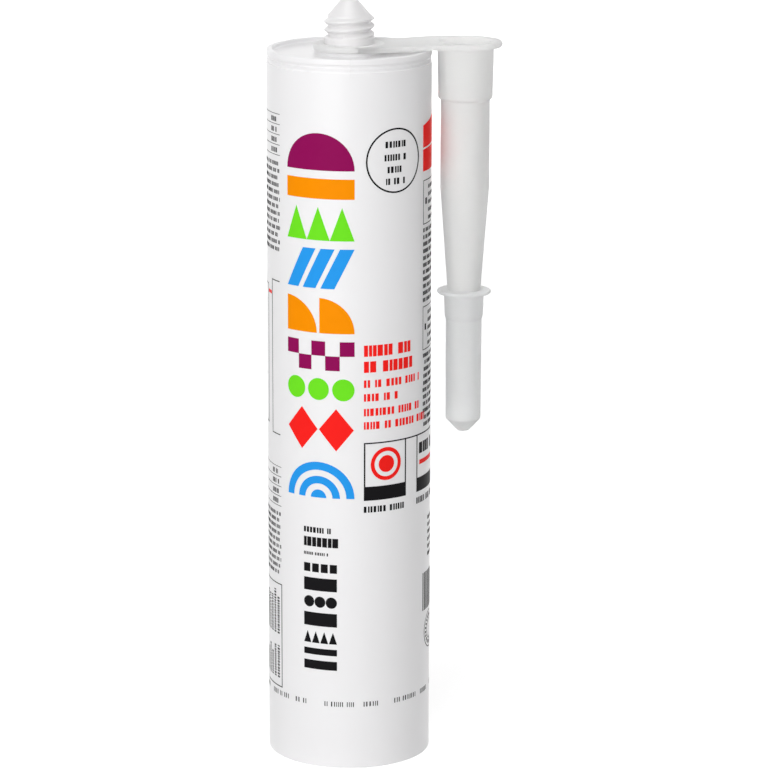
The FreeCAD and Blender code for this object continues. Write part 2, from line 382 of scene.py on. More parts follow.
def barrel_shell(material):
    """Cartridge in one closed wall: nipple, collar, boss, head, rim, grooves, tube, foot and bore."""
    bead_z = tube_len - bead_height
    ridge_top = bead_z - groove_height
    ridge_low = ridge_top - ridge_height
    groove_low = ridge_low - groove_height
    groove_r = tube_r - groove_depth
    ridge_r = tube_r - ridge_depth
    outline = rounded([
        (0, tip_z),
        (tip_r, tip_z, tip_round),
        (core_r, tube_len + core_top, tip_round),
        (core_r, tube_len + collar_top + collar_cone),
        (collar_r, tube_len + collar_top, collar_round),
        (collar_r, boss_z, collar_foot_round),
        (boss_r, boss_z, boss_round),
        (boss_r, recess_z, boss_round),
        (tube_r - rim_width, recess_z, recess_round),
        (tube_r - rim_width, tube_len, rim_round),
        (tube_r, tube_len, rim_round),
        (tube_r, bead_z, bead_round),
        (groove_r, bead_z - groove_slope, groove_round),
        (groove_r, ridge_top + groove_slope, groove_round),
        (ridge_r, ridge_top, ridge_round),
        (ridge_r, ridge_low, ridge_round),
        (groove_r, ridge_low - groove_slope, groove_round),
        (groove_r, groove_low + groove_slope, groove_round),
        (tube_r, groove_low, groove_foot_round),
        (tube_r, 0, foot_round),
        (mouth_r + mouth_chamfer, 0, mouth_round),
        (mouth_r, mouth_chamfer, mouth_round),
        (mouth_r, mouth_depth),
        (bore_r, mouth_depth + mouth_taper),
        (bore_r, head_inner_z, head_inner_round),
        (nipple_bore_r, head_inner_z, nipple_entry_round),
        (nipple_bore_r, tube_len + core_top),
        (tip_inner_r, tip_z - tip_wall),
        (0, tip_z - tip_wall),
    ])
    split = int(np.argmax(outline[:, 0] > boss_r - 1))
    nipple = finer(outline[:split], tube_len + collar_top - 0.6, tip_z, THREAD_ROW)
    outline = np.vstack([nipple, outline[split:]])
    return new_piece("barrel_shell", *turned(outline, radius=nipple_thread), material)


def strap_shell(material):
    """Strap as a closed band: a rounded section carried along X from inside the ring to inside the flange.

    Its half width is the waist plus the rise of a circle about the waist's middle, and its middle
    height follows the rounded line that rises over the rim. Both ends are arcs about the ring's and
    the flange's axes, so that neither reaches into a hole. Its faces lie a little inside those of the
    ring and the flange.
    """
    half_waist = strap_waist / 2
    waist_x = nozzle_x / 2
    waist_r = (waist_x ** 2 + half_waist ** 2 - ring_r ** 2) / (2 * (ring_r - half_waist))
    low_z = boss_z + ring_thickness - strap_thickness / 2 - strap_inset
    high_z = flange_top_z - strap_thickness / 2 - strap_inset
    line = rounded([
        (0, low_z),
        (strap_rise_start, low_z, strap_bend),
        (strap_rise_end, high_z, strap_bend),
        (nozzle_x, high_z),
    ])
    across, quarter, stations = 20, 5, 90
    bend = np.linspace(math.pi / 2, 0, quarter + 1)
    flat = np.linspace(-1, 1, across + 1)
    lateral = np.concatenate([-np.ones(quarter), flat, np.ones(quarter)])
    out_y = np.concatenate([-np.cos(bend[::-1][:-1]), np.zeros(across + 1), np.cos(bend[1:])])
    out_z = np.concatenate([np.sin(bend[::-1][:-1]), np.ones(across + 1), np.sin(bend[1:])])
    lateral = np.concatenate([lateral, lateral[::-1]])[None, :]
    out_y = np.concatenate([out_y, out_y[::-1]])[None, :]
    out_z = np.concatenate([out_z, -out_z[::-1]])[None, :]
    ring_mid = (ring_in_r + ring_r) / 2
    flange_mid = (socket_bore_r + flange_r) / 2 + 0.3
    touch_x = ring_r * waist_x / (waist_r + ring_r)
    reach = lateral * ring_r
    start_x = np.maximum(np.sqrt(np.maximum(ring_mid ** 2 - reach ** 2, 0)), touch_x)
    end_x = nozzle_x - np.maximum(np.sqrt(np.maximum(flange_mid ** 2 - reach ** 2, 0)), touch_x)
    share = np.linspace(0, 1, stations)[:, None]
    x = start_x + share * (end_x - start_x)
    half_width = half_waist + waist_r - np.sqrt(waist_r ** 2 - (x - waist_x) ** 2) - 2 * strap_inset
    y = lateral * (half_width - strap_edge) + strap_edge * out_y
    z = np.interp(x, line[:, 0], line[:, 1]) + (strap_thickness / 2 - strap_edge) * np.sign(out_z)
    z = z + strap_edge * out_z
    points = np.stack([x, y, z], -1).reshape(-1, 3)
    rows, columns = x.shape
    k = np.arange(columns // 2 - 1)
    first = np.stack([k, columns - 1 - k, columns - 2 - k, k + 1], 1)
    last = first[:, ::-1] + (rows - 1) * columns
    quads = np.vstack([lattice(rows, columns, wrap_columns=True), last, first])
    return new_piece("strap_shell", points, outward(points, quads), material)


def nozzle_moulding(material, ring_lit_material):
    """Ring, strap and spout, joined into the one moulding that they are; the ring carries a lighter, less
    clear copy of the moulding's finish, which is painted light.
    """
    ring = rounded([
        (ring_in_r, boss_z, ring_foot_round),
        (ring_r, boss_z, ring_round),
        (ring_r, boss_z + ring_thickness, ring_round),
        (ring_in_r, boss_z + ring_thickness, ring_hole_round),
    ], closed=True)
    shaft_z = flange_top_z - shaft_end
    socket_end_z = flange_top_z - socket_len
    spout = rounded([
        (socket_bore_r + socket_chamfer, flange_top_z, 0.1),
        (flange_r, flange_top_z, flange_round),
        (flange_r, flange_top_z - flange_thickness, flange_round),
        (socket_outer_r, flange_top_z - flange_thickness, socket_fillet),
        (socket_outer_r - socket_draft, socket_end_z, socket_round),
        (shaft_r, socket_end_z - socket_cone, nozzle_edge),
        (shaft_r, shaft_z, taper_round),
        (nozzle_tip_r, nozzle_tip_z, nozzle_edge),
        (tip_bore_r, nozzle_tip_z, nozzle_edge / 2),
        (channel_r, shaft_z, taper_round),
        (channel_r, flange_top_z - socket_depth - socket_floor, socket_chamfer),
        (socket_bore_r, flange_top_z - socket_depth, socket_chamfer),
        (socket_bore_r, flange_top_z - socket_chamfer, 0.1),
    ], closed=True)
    inside = int(np.argmin(spout[:, 1])) + 1
    low = flange_top_z - socket_depth + socket_chamfer
    spout = np.vstack([spout[:inside], finer(spout[inside:], low, flange_top_z, THREAD_ROW * 1.3)])
    body = new_piece("nozzle_moulding", *turned(spout, nozzle_x, True, socket_thread, 192), material)
    others = [
        # The ring takes the lighter, less clear copy of the milky finish: painted light.
        new_piece("ring_shell", *turned(ring, closed=True, segments=192), ring_lit_material),
        strap_shell(material),
    ]
    for other in others:
        fuse(body, other)
    smooth(body.data)
    return body


def fuse(body, other):
    """Makes the other object part of the body's mesh, with its own material where it has one."""
    join = body.modifiers.new("join", "BOOLEAN")
    join.operation = "UNION"
    join.solver = "EXACT"
    if other.data.materials:
        join.material_mode = "TRANSFER"
    join.object = other
    bpy.context.view_layer.update()
    graph = bpy.context.evaluated_depsgraph_get()
    mesh = bpy.data.meshes.new_from_object(body.evaluated_get(graph))
    body.modifiers.clear()
    body.data = mesh
    bpy.data.objects.remove(other)


def taper_r(above_tip):
    """Outside radius of the nozzle's taper at a height above its tip."""
    return nozzle_tip_r + (shaft_r - nozzle_tip_r) * above_tip / (nozzle_len - shaft_end)


def cap_shell(material):
    """Closed cap: grip disc, collar that seats on the nozzle's taper, and a tube with a conical end."""
    collar_end_z = cap_mouth_z - cap_collar_len
    tube_top_z = collar_end_z - cap_collar_cone
    shoulder_z = cap_end_z + cap_cone_len
    end_z = cap_end_z + cap_tip_len
    collar_out_r = cap_disc_r - cap_disc_width
    seat_r = collar_out_r - cap_collar_wall
    seat_end_r = seat_r - taper_r(cap_mouth_z - nozzle_tip_z) + taper_r(collar_end_z - nozzle_tip_z)
    tube_in_r = seat_end_r + cap_tube_gap
    tube_out_r = tube_in_r + cap_wall
    tip_in_r = cap_tip_r - cap_wall / 2
    outline = rounded([
        (0, cap_end_z),
        (cap_end_r, cap_end_z, cap_tip_round),
        (cap_tip_r, end_z, cap_tip_round),
        (tube_out_r - cap_tube_draft, shoulder_z, cap_shoulder_round),
        (tube_out_r, tube_top_z, 0.3),
        (collar_out_r - cap_collar_draft, collar_end_z, cap_collar_round),
        (collar_out_r, cap_mouth_z - cap_disc_thickness, 0.3),
        (cap_disc_r, cap_mouth_z - cap_disc_thickness, cap_disc_round),
        (cap_disc_r, cap_mouth_z, cap_disc_round),
        (seat_r, cap_mouth_z),
        (seat_end_r, collar_end_z),
        (tube_in_r, tube_top_z),
        (tube_in_r - cap_tube_draft, shoulder_z, cap_shoulder_round),
        (tip_in_r, end_z + cap_wall / 2),
        (tip_in_r / 2, cap_end_z + cap_wall),
        (0, cap_end_z + cap_wall),
    ])
    return new_piece("cap_shell", *turned(outline, nozzle_x, segments=192), material)


def piston_cup(material):
    """Piston: a turned cup with a lip at each end, and gussets from its skirt to its web."""
    front_z, rear_z = piston_high.z, piston_low.z
    web_z = front_z - piston_web
    outline = rounded([
        (0, front_z),
        (lip_r, front_z, lip_round),
        (lip_r, front_z - lip_height),
        (skirt_r, front_z - lip_height - lip_relief, 0.2),
        (skirt_r, rear_z + lip_height + lip_relief, 0.2),
        (lip_r, rear_z + lip_height),
        (lip_r, rear_z, lip_round),
        (skirt_in_r, rear_z, lip_round),
        (skirt_in_r, web_z, web_round),
        (piston_boss_r, web_z, piston_boss_round),
        (piston_boss_r, web_z - piston_boss_height, piston_boss_round),
        (0, web_z - piston_boss_height),
    ])
    cup = new_piece("piston_cup", *turned(outline, segments=192), material)
    inner, outer = skirt_in_r - gusset_reach, (skirt_in_r + skirt_r) / 2
    plan = rounded([
        (outer, web_z + piston_web / 2),
        (outer, web_z - gusset_height),
        (skirt_in_r, web_z - gusset_height, 0.3),
        (inner, web_z),
        (inner, web_z + piston_web / 2),
    ], closed=True)
    half = gusset_thickness / 2
    for i in range(gusset_count):
        turn = 2 * math.pi * i / gusset_count
        side = np.array([-half, half])[:, None]
        x = plan[None, :, 0] * math.cos(turn) - side * math.sin(turn)
        y = plan[None, :, 0] * math.sin(turn) + side * math.cos(turn)
        z = np.repeat(plan[None, :, 1], 2, 0)
        mesh = bpy.data.meshes.new("gusset")
        count = len(plan)
        sides = [tuple(q) for q in lattice(2, count, wrap_columns=True)]
        ends = [tuple(range(count - 1, -1, -1)), tuple(range(count, 2 * count))]
        mesh.from_pydata((np.stack([x, y, z], -1).reshape(-1, 3) * MM).tolist(), [], sides + ends)
        work = bmesh.new()
        work.from_mesh(mesh)
        bmesh.ops.recalc_face_normals(work, faces=work.faces)
        work.to_mesh(mesh)
        work.free()
        gusset = bpy.data.objects.new("gusset", mesh)
        bpy.context.scene.collection.objects.link(gusset)
        fuse(cup, gusset)
    smooth(cup.data)
    return cup


def sealant_fill(material):
    """The fill of sealant: a turned solid from the piston's face to the head, with a plug in the nipple."""
    clearance = bore_r - fill_r
    shoulder_z = head_inner_z - clearance
    plug_r = nipple_bore_r - clearance
    outline = rounded([
        (0, fill_low.z),
        (fill_r, fill_low.z, 0.2),
        (fill_r, shoulder_z, head_inner_round),
        (plug_r, shoulder_z, nipple_entry_round),
        (plug_r, fill_high.z, 0.2),
        (0, fill_high.z),
    ])
    return new_piece("sealant_fill", *turned(outline, segments=128), material)


# Print

def on_tube(u, z, lift):
    """Point on the tube: u is the arc from its front line, positive towards +X, and lift the height."""
    r, angle = tube_r + lift, u / tube_r
    return np.stack([r * np.sin(angle), -r * np.cos(angle), z], -1)


def slab(u, z, loop=False):
    """Closed thin layer of ink over a grid of (u, z): an outer face, a face sunk in the wall, and sides."""
    n, m = u.shape
    u2 = np.concatenate([u, u[:, ::-1]], 1)
    z2 = np.concatenate([z, z[:, ::-1]], 1)
    lift = np.concatenate([np.full((n, m), ink_lift), np.full((n, m), -ink_sink)], 1)
    points = on_tube(u2, z2, lift).reshape(-1, 3)
    quads = lattice(n, 2 * m, wrap_rows=loop, wrap_columns=True)
    if not loop:
        k = np.arange(m - 1)
        first = np.stack([k, 2 * m - 1 - k, 2 * m - 2 - k, k + 1], 1)
        last = first[:, ::-1] + (n - 1) * 2 * m
        quads = np.vstack([quads, first, last])
    return points, outward(points, quads)


def patch(a, b, c, d):
    """Ink over a four-sided field with corners (u, z): each point is the corners' weighted mean."""
    a, b, c, d = (np.array(p, float) for p in (a, b, c, d))
    along = max(abs(b[0] - a[0]), abs(c[0] - d[0]))
    across = max(abs(d[0] - a[0]), abs(c[0] - b[0]))
    s = np.linspace(0, 1, max(2, math.ceil(along / ink_step) + 1))[:, None, None]
    t = np.linspace(0, 1, max(2, math.ceil(across / ink_step) + 1))[None, :, None]
    grid = (1 - t) * ((1 - s) * a + s * b) + t * ((1 - s) * d + s * c)
    return slab(grid[..., 0], grid[..., 1])


def bar(u0, u1, z0, z1):
    """Ink over a rectangle."""
    return patch((u0, z0), (u1, z0), (u1, z1), (u0, z1))


def band(u, z, r0, r1, start=0.0, end=360.0):
    """Ink over part of a ring: u is r times cosine and z is r times sine, about a centre."""
    full = end - start >= 360
    count = max(6, math.ceil((end - start) / 7.5))
    turn = np.radians(np.linspace(start, end, count + (0 if full else 1), endpoint=not full))[:, None]
    r = np.linspace(r0, r1, max(2, math.ceil((r1 - r0) / 1.2)))[None, :]
    return slab(u + r * np.cos(turn), z + r * np.sin(turn), loop=full)


def frame_lines(u0, u1, z0, z1, width):
    """Four bars round a rectangle."""
    return [
        bar(u0, u1, z0, z0 + width),
        bar(u0, u1, z1 - width, z1),
        bar(u0, u0 + width, z0 + width, z1 - width),
        bar(u1 - width, u1, z0 + width, z1 - width),
    ]


def greeked(rng, u0, u1, z, height, solid=0.72):
    """A row of small blocks in groups, which stands for a line of print at that size."""
    slabs = []
    u = u0
    while u < u1 - height * 0.3:
        for _ in range(int(rng.integers(2, 9))):
            wide = height * rng.uniform(0.35, 0.75)
            if u + wide > u1:
                break
            slabs.append(bar(u, u + wide * solid, z, z + height))
            u += wide
        u += height * 0.5
    return slabs


def ink_piece(name, slabs, material):
    """One mesh of all the fields of one ink."""
    starts = np.cumsum([0] + [len(p) for p, _ in slabs[:-1]])
    points = np.vstack([p for p, _ in slabs])
    quads = np.vstack([q + s for (_, q), s in zip(slabs, starts)])
    return new_piece(name, points, quads, material)


# Fields of the print, in arc u from the front line and height z
column_left, column_right = -20.5, 1.6
column_low, column_top = 85.0, 195.5


def triangle(a, b, c):
    """Ink over a triangle."""
    return patch(a, b, c, c)


def colour_column():
    """Front column of simple coloured fields, from its top to its foot, as slabs for each ink."""
    left, right = column_left, column_right
    middle, wide = (left + right) / 2, right - left
    half = wide / 2
    gap = 2.46
    inks = {"purple": [], "orange": [], "green": [], "blue": [], "red": []}

    dome_z = column_top - half
    inks["purple"].append(band(middle, dome_z, 0, half, 0, 180))

    bar_z = dome_z - gap - 6.0
    inks["orange"].append(bar(left, right, bar_z, bar_z + 6.0))

    peaks_z = bar_z - gap - 10.0
    third = wide / 3
    for u in left + third * np.arange(3):
        inks["green"].append(triangle((u, peaks_z), (u + third, peaks_z), (u + third / 2, peaks_z + 10.0)))

    leaning_z = peaks_z - gap - 12.0
    width, lean = 4.3, 6.0
    for u in np.linspace(left, right - width - lean, 3):
        low, high = leaning_z, leaning_z + 12.0
        inks["blue"].append(patch((u, low), (u + width, low), (u + width + lean, high), (u + lean, high)))

    fans_z = leaning_z - gap - half
    for u in (left, middle + 0.4):
        inks["orange"].append(band(u, fans_z, 0, half - 0.4, 0, 90))

    side = wide / 5
    squares_z = fans_z - gap - 2 * side
    for k in range(5):
        z = squares_z + side * ((k + 1) % 2)
        inks["purple"].append(bar(left + k * side, left + (k + 1) * side, z, z + side))

    disc_r = 3.35
    discs_z = squares_z - gap - disc_r
    for u in np.linspace(left + disc_r, right - disc_r, 3):
        inks["green"].append(band(u, discs_z, 0, disc_r))

    rhombus_z = discs_z - disc_r - gap - 6.5
    for u in (left + half / 2, right - half / 2):
        reach = half / 2 - 0.2
        inks["red"].append(patch(
            (u - reach, rhombus_z), (u, rhombus_z - 6.5), (u + reach, rhombus_z), (u, rhombus_z + 6.5)
        ))

    for inner, outer in ((0, 2.5), (4.4, 6.7), (8.6, half)):
        inks["blue"].append(band(middle, column_low, inner, outer, 0, 180))
    return inks


def paragraph(rng, u0, u1, top, count, pitch, height, ragged, solid=0.6):
    """Rows of greeked print below a height, with one ragged end: the far one, or the near one if negative."""
    slabs = []
    for k in range(count):
        cut = abs(ragged) * rng.uniform(0, 1)
        start, end = (u0, u1 - cut) if ragged > 0 else (u0 + cut, u1)
        slabs += greeked(rng, start, end, top - (k + 1) * pitch, height, solid)
    return slabs


def ruled_table(rng, u0, u1, top, rows, pitch, side):
    """Rules a pitch apart, with short greeked entries between them at the given side."""
    slabs = [bar(u0, u1, top - k * pitch, top - k * pitch + 0.16) for k in range(rows + 1)]
    for k in range(rows):
        z = top - k * pitch - pitch * 0.75
        entries = ((u0 + 1, 12.0), (u1 - 5.5, 4.5)) if side > 0 else ((u0 + 1, 4.5), (u0 + 12, 14.0))
        for start, wide in entries:
            slabs += greeked(rng, start, start + wide, z, 1.45, 0.6)
    return slabs


def fine_print(rng):
    """Greeked panels on both sides of the tube, reaching round to the back, in black and red."""
    black, red = [], []
    far, near = -70.0, -24.2
    black += ruled_table(rng, far, near, 199.4, 4, 3.07, 1)
    black += paragraph(rng, far, near + 0.6, 186.2, 13, 2.15, 1.15, 1.6)
    black += [
        bar(-29.7, -29.4, 102.0, 149.0),
        bar(-29.7, -24.6, 148.9, 149.2),
        bar(-29.7, -24.6, 101.8, 102.1),
    ]
    black += frame_lines(-66.0, -33.5, 104.0, 147.0, 0.3)
    black += [patch((-62, 112), (-38, 118), (-38, 119.2), (-62, 113.2)), band(-50, 130, 5.6, 6.0)]
    black += paragraph(rng, -62.0, -38.0, 142.5, 2, 2.4, 1.15, 6.0)
    red += [bar(-33.2, -30.0, 144.4, 145.4), bar(-60.0, -44.0, 107.0, 108.4)]
    black += ruled_table(rng, far, near, 91.8, 4, 3.05, 1)
    black += paragraph(rng, far, near + 0.4, 78.6, 10, 2.05, 1.1, 1.6)
    black += frame_lines(-62.0, near + 0.2, 22.2, 55.1, 0.3)
    for k in range(16):
        u = -60.5 + 2.25 * k
        for low, high in ((25.0, 25.0 + rng.uniform(6, 11)), (39.0, 39.0 + rng.uniform(9, 14))):
            z = low
            while z < high:
                tall = rng.uniform(0.5, 1.1)
                black.append(bar(u, u + 1.25, z, z + tall * 0.6))
                z += tall
    near, far = 27.2, 70.0
    red += [
        patch((26.9, 182.0), (60.0, 182.0), (60.0, 190.6), (26.9, 188.6)),
        patch((26.9, 189.1), (60.0, 191.1), (60.0, 203.5), (26.9, 195.8)),
    ]
    for top in (179.3, 140.9):
        black += frame_lines(near, far - 6, top - 13.4, top, 0.25)
        black += paragraph(rng, near + 4.0, far - 8, top - 0.6, 5, 2.35, 1.15, 5.0)
        black += greeked(rng, near + 1.4, near + 3.0, top - 7.4, 1.9, 0.8)
        black += paragraph(rng, near, far, top - 13.6, 11, 2.13, 1.2, -1.4 if top < 150 else 1.4, 0.72)
    black += paragraph(rng, near + 5.0, far, 76.0, 6, 2.3, 1.15, 5.0)
    u = near + 0.8
    while u < near + 26:
        wide = rng.uniform(0.25, 0.8)
        black.append(bar(u, u + wide, 45.6, 57.6))
        u += wide + rng.uniform(0.3, 0.7)
    black += [band(35.2, 38.4, 5.7, 6.0), band(35.2, 38.4, 3.0, 3.25)]
    for k in range(22):
        start = k * 360 / 22
        black.append(band(35.2, 38.4, 3.9, 4.9, start, start + 8.5))
    for k in range(7):
        u = -7.6 + k * 2 * math.pi * tube_r / 7
        for start, wide in ((u, 9.6), (u + 12.0, 5.8)):
            black += greeked(rng, start, start + wide, 19.6, 1.5, 0.38)
    return black, red


def front_print(rng):
    """Greeked words, rules, frames and a ring on the front, in black and red."""
    black, red = [], []
    black += [band(14.6, 187.0, 9.2, 9.7)]
    for z, wide in ((190.9, 8.0), (187.0, 8.6), (183.4, 6.6), (179.9, 7.6)):
        black += greeked(rng, 15.0 - wide / 2, 15.0 + wide / 2, z, 1.9, 0.62)
    for z, end in ((128.6, 22.6), (123.7, 24.6)):
        red += greeked(rng, 4.4, end, z, 3.4, 0.8)
    for z, end in ((119.1, 26.6), (114.9, 16.2), (110.4, 25.4), (106.3, 29.0)):
        red += greeked(rng, 4.4, end, z, 2.3, 0.66)
    black += [bar(4.4, 37.0, 101.8, 102.2)]
    for left, right in ((4.4, 18.8), (23.8, 38.2)):
        black += [
            bar(left, left + 0.45, 84.5, 101.8),
            bar(right - 0.45, right, 84.5, 101.8),
            bar(left, right, 84.3, 88.6),
        ]
        black += greeked(rng, left, right + 0.6, 80.6, 1.9, 0.62)
    # Disc in a ring in the first frame, and a count over a bar in the second
    red += [band(11.6, 95.3, 0, 2.6), band(11.6, 95.3, 3.9, 5.1), bar(25.4, 36.0, 92.6, 94.0)]
    black += greeked(rng, 25.2, 36.8, 96.0, 3.4, 0.8)
    # Small blocks, then a column of bold ones
    black += greeked(rng, -14.4, -4.4, 73.9, 1.7, 0.7)
    black += greeked(rng, -14.4, -1.9, 69.6, 2.9, 0.84)
    black += greeked(rng, -14.4, -6.0, 66.9, 0.9, 0.6)
    left, right = -14.4, -3.7
    black += [bar(u, u + 2.2, 61.6, 64.3) for u in np.linspace(left, right - 2.2, 4)]
    for low, high in ((55.8, 59.8), (44.7, 48.9), (35.6, 37.6), (31.0, 33.8)):
        black.append(bar(left, right, low, high))
    black += [band(u, 52.3, 0, 1.75) for u in np.linspace(left + 1.75, right - 1.75, 3)]
    for u in np.linspace(left, right - 2.5, 4):
        black.append(triangle((u, 39.3), (u + 2.5, 39.3), (u + 1.25, 43.0)))
    return black, red


# Materials

def srgb(*levels):
    """Linear colour of display levels from 0 to 255."""
    share = np.array(levels, float) / 255
    linear = np.where(share <= 0.04045, share / 12.92, ((share + 0.055) / 1.055) ** 2.4)
    return (*linear, 1.0)


class Finish:
    """A material with its own Principled shader, and short ways to add procedural detail to it."""

    def __init__(self, name, colour, roughness, **sockets):
        self.material = bpy.data.materials.new(name)
        self.material.use_nodes = True
        self.nodes = self.material.node_tree.nodes
        self.links = self.material.node_tree.links
        self.shader = self.nodes["Principled BSDF"]
        self.shader.inputs["Base Color"].default_value = colour
        self.shader.inputs["Roughness"].default_value = roughness
        self.shader.inputs["Subsurface Radius"].default_value = (1, 1, 1)
        for socket, value in sockets.items():
            self.shader.inputs[socket.replace("_", " ")].default_value = value
        self.place = self.nodes.new("ShaderNodeTexCoord").outputs["Object"]
        self.normal = None

    def noise(self, scale, detail=2.0, stretch=None):
        """Noise of a size in features to the metre, from 0 to 1, stretched along an axis if asked."""
        node = self.nodes.new("ShaderNodeTexNoise")
        node.inputs["Scale"].default_value = scale
        node.inputs["Detail"].default_value = detail
        place = self.place
        if stretch is not None:
            mapping = self.nodes.new("ShaderNodeMapping")
            mapping.inputs["Scale"].default_value = stretch
            self.links.new(place, mapping.inputs["Vector"])
            place = mapping.outputs["Vector"]
        self.links.new(place, node.inputs["Vector"])
        return node.outputs["Fac"]

    def ranged(self, value, low, high, start=0.3, end=0.7):
        """A value between start and end, carried over to low and high."""
        node = self.nodes.new("ShaderNodeMapRange")
        self.links.new(value, node.inputs["Value"])
        for socket, number in zip(("From Min", "From Max", "To Min", "To Max"), (start, end, low, high)):
            node.inputs[socket].default_value = number
        return node.outputs["Result"]

    def blended(self, share, first, second):
        """Colour between two others."""
        node = self.nodes.new("ShaderNodeMix")
        node.data_type = "RGBA"
        self.links.new(share, node.inputs["Factor"])
        node.inputs[6].default_value = first
        node.inputs[7].default_value = second
        return node.outputs[2]

    def mixed(self, share, first, second):
        """Colour between the one that another node makes and a fixed one."""
        colour = self.blended(share, second, second)
        self.links.new(first, colour.node.inputs[6])
        return colour

    def maths(self, operation, a, b=None):
        """One Math node over values or numbers."""
        node = self.nodes.new("ShaderNodeMath")
        node.operation = operation
        for socket, value in zip(node.inputs, (a, b)):
            if value is None:
                continue
            if isinstance(value, (int, float)):
                socket.default_value = value
            else:
                self.links.new(value, socket)
        return node.outputs[0]

    def feed(self, socket, value):
        """Links a value to one of the shader's sockets."""
        self.links.new(value, self.shader.inputs[socket])

    def bump(self, height, distance, strength=1.0):
        """Adds relief of that depth in metres over what is there already."""
        node = self.nodes.new("ShaderNodeBump")
        node.inputs["Distance"].default_value = distance
        node.inputs["Strength"].default_value = strength
        self.links.new(height, node.inputs["Height"])
        if self.normal is not None:
            self.links.new(self.normal, node.inputs["Normal"])
        self.normal = node.outputs["Normal"]
        self.feed("Normal", self.normal)


def barrel_finish():
    """White moulded polyethylene: soft gloss, fine flow lines, a parting line, and painted shade that greys
    the collar and nipple and, more faintly, the parting line.
    """
    finish = Finish(
        "white_moulded_tube", (0.9, 0.9, 0.905, 1), 0.3,
        Subsurface_Weight=0.12, Subsurface_Scale=0.002, IOR=1.5,
    )
    flow = finish.noise(140, 3, (1, 1, 0.05))
    coat = finish.blended(flow, (0.9, 0.893, 0.902, 1), (0.91, 0.903, 0.912, 1))
    finish.feed("Roughness", finish.ranged(finish.noise(90, 3), 0.29, 0.32))
    finish.bump(finish.noise(900, 2), 0.00001, 0.3)
    parts = finish.nodes.new("ShaderNodeSeparateXYZ")
    finish.links.new(finish.place, parts.inputs["Vector"])
    away = finish.maths("ABSOLUTE", finish.maths("SUBTRACT", parts.outputs["X"], 0.4 * MM))
    seam = finish.ranged(away, 1.0, 0.0, 0.05 * MM, 0.3 * MM)
    front = finish.ranged(parts.outputs["Y"], 1.0, 0.0, -23.5 * MM, -22.5 * MM)
    high = finish.ranged(parts.outputs["Z"], 0.0, 1.0, 211.6 * MM, 212.8 * MM)
    mask = finish.maths("MULTIPLY", finish.maths("MULTIPLY", seam, front), high)
    finish.bump(mask, 0.00008, 0.6)
    # Painted shade: the base colour turns grey from 0.4 mm above the rim, over the collar and nipple, and the
    # parting line gets 0.4 of that grey.
    nipple_shade = finish.ranged(parts.outputs["Z"], 0.0, 1.0, (tube_len + 0.4) * MM, (tube_len + 0.9) * MM)
    painted_shade = finish.maths("MAXIMUM", finish.maths("MULTIPLY", mask, 0.4), nipple_shade)
    finish.feed("Base Color", finish.mixed(painted_shade, coat, (0.84, 0.83, 0.835, 1)))
    return finish.material


def milky_finish(name, colour, clearness):
    """Translucent polyethylene: part diffuse, part rough transmission, with flow marks and haze."""
    finish = Finish(
        name, colour, 0.95,
        Transmission_Weight=clearness, IOR=1.45, Sheen_Weight=0.8, Sheen_Roughness=0.45,
    )
    haze = finish.noise(90, 3, (1, 1, 0.25))
    light = tuple(min(1.0, c * 1.01) for c in colour[:3]) + (1,)
    dark = tuple(c * 0.985 for c in colour[:3]) + (1,)
    finish.feed("Base Color", finish.blended(haze, dark, light))
    finish.feed("Roughness", finish.ranged(finish.noise(220, 2), 0.92, 0.98))
    finish.bump(finish.noise(1100, 2), 0.00002, 0.3)
    return finish.material


def piston_finish():
    """Matt white polyethylene with turned-looking flow rings."""
    finish = Finish(
        "white_piston", (0.86, 0.86, 0.85, 1), 0.42,
        Subsurface_Weight=0.1, Subsurface_Scale=0.002,
    )
    flow = finish.noise(160, 3)
    finish.feed("Base Color", finish.blended(flow, (0.83, 0.83, 0.82, 1), (0.88, 0.88, 0.87, 1)))
    finish.feed("Roughness", finish.ranged(finish.noise(300, 2), 0.36, 0.5))
    finish.bump(finish.noise(1400, 2), 0.00003, 0.4)
    return finish.material


def sealant_finish():
    """Soft white paste with slow swirls."""
    finish = Finish("white_paste", (0.9, 0.9, 0.89, 1), 0.45, Subsurface_Weight=0.3, Subsurface_Scale=0.003)
    swirl = finish.noise(120, 4)
    finish.feed("Base Color", finish.blended(swirl, (0.88, 0.88, 0.86, 1), (0.93, 0.93, 0.92, 1)))
    finish.feed("Roughness", finish.ranged(swirl, 0.36, 0.55))
    finish.bump(swirl, 0.0003, 0.5)
    return finish.material


def ink_finish(name, colour, roughness=0.4):
    """Screen ink: its colour with a little mottle in density, and a faint gloss."""
    finish = Finish(name, colour, roughness, IOR=1.5, Specular_IOR_Level=0.03)
    mottle = finish.noise(420, 2)
    deep = tuple(c * 0.97 for c in colour[:3]) + (1,)
    light = tuple(min(1.0, c * 1.02 + 0.001) for c in colour[:3]) + (1,)
    finish.feed("Base Color", finish.blended(mottle, deep, light))
    finish.feed("Roughness", finish.ranged(finish.noise(200, 2), roughness - 0.04, roughness + 0.04))
    finish.bump(finish.noise(900, 2), 0.00001, 0.2)
    return finish.material


# Stage, camera and light, with distances in metres
FLOOR_GLOW = 0.57
FLOOR_NEAR, FLOOR_FAR = 0.5, 1.3
WORLD_LIGHT = 0.29


def white_to_rays(tree, other):
    """Adds a share that is 1 for camera, glossy and transmission rays, to mix plain white in there."""
    path = tree.nodes.new("ShaderNodeLightPath")
    share = path.outputs["Is Camera Ray"]
    for ray in other:
        node = tree.nodes.new("ShaderNodeMath")
        node.operation = "MAXIMUM"
        tree.links.new(share, node.inputs[0])
        tree.links.new(path.outputs[ray], node.inputs[1])
        share = node.outputs[0]
    return share


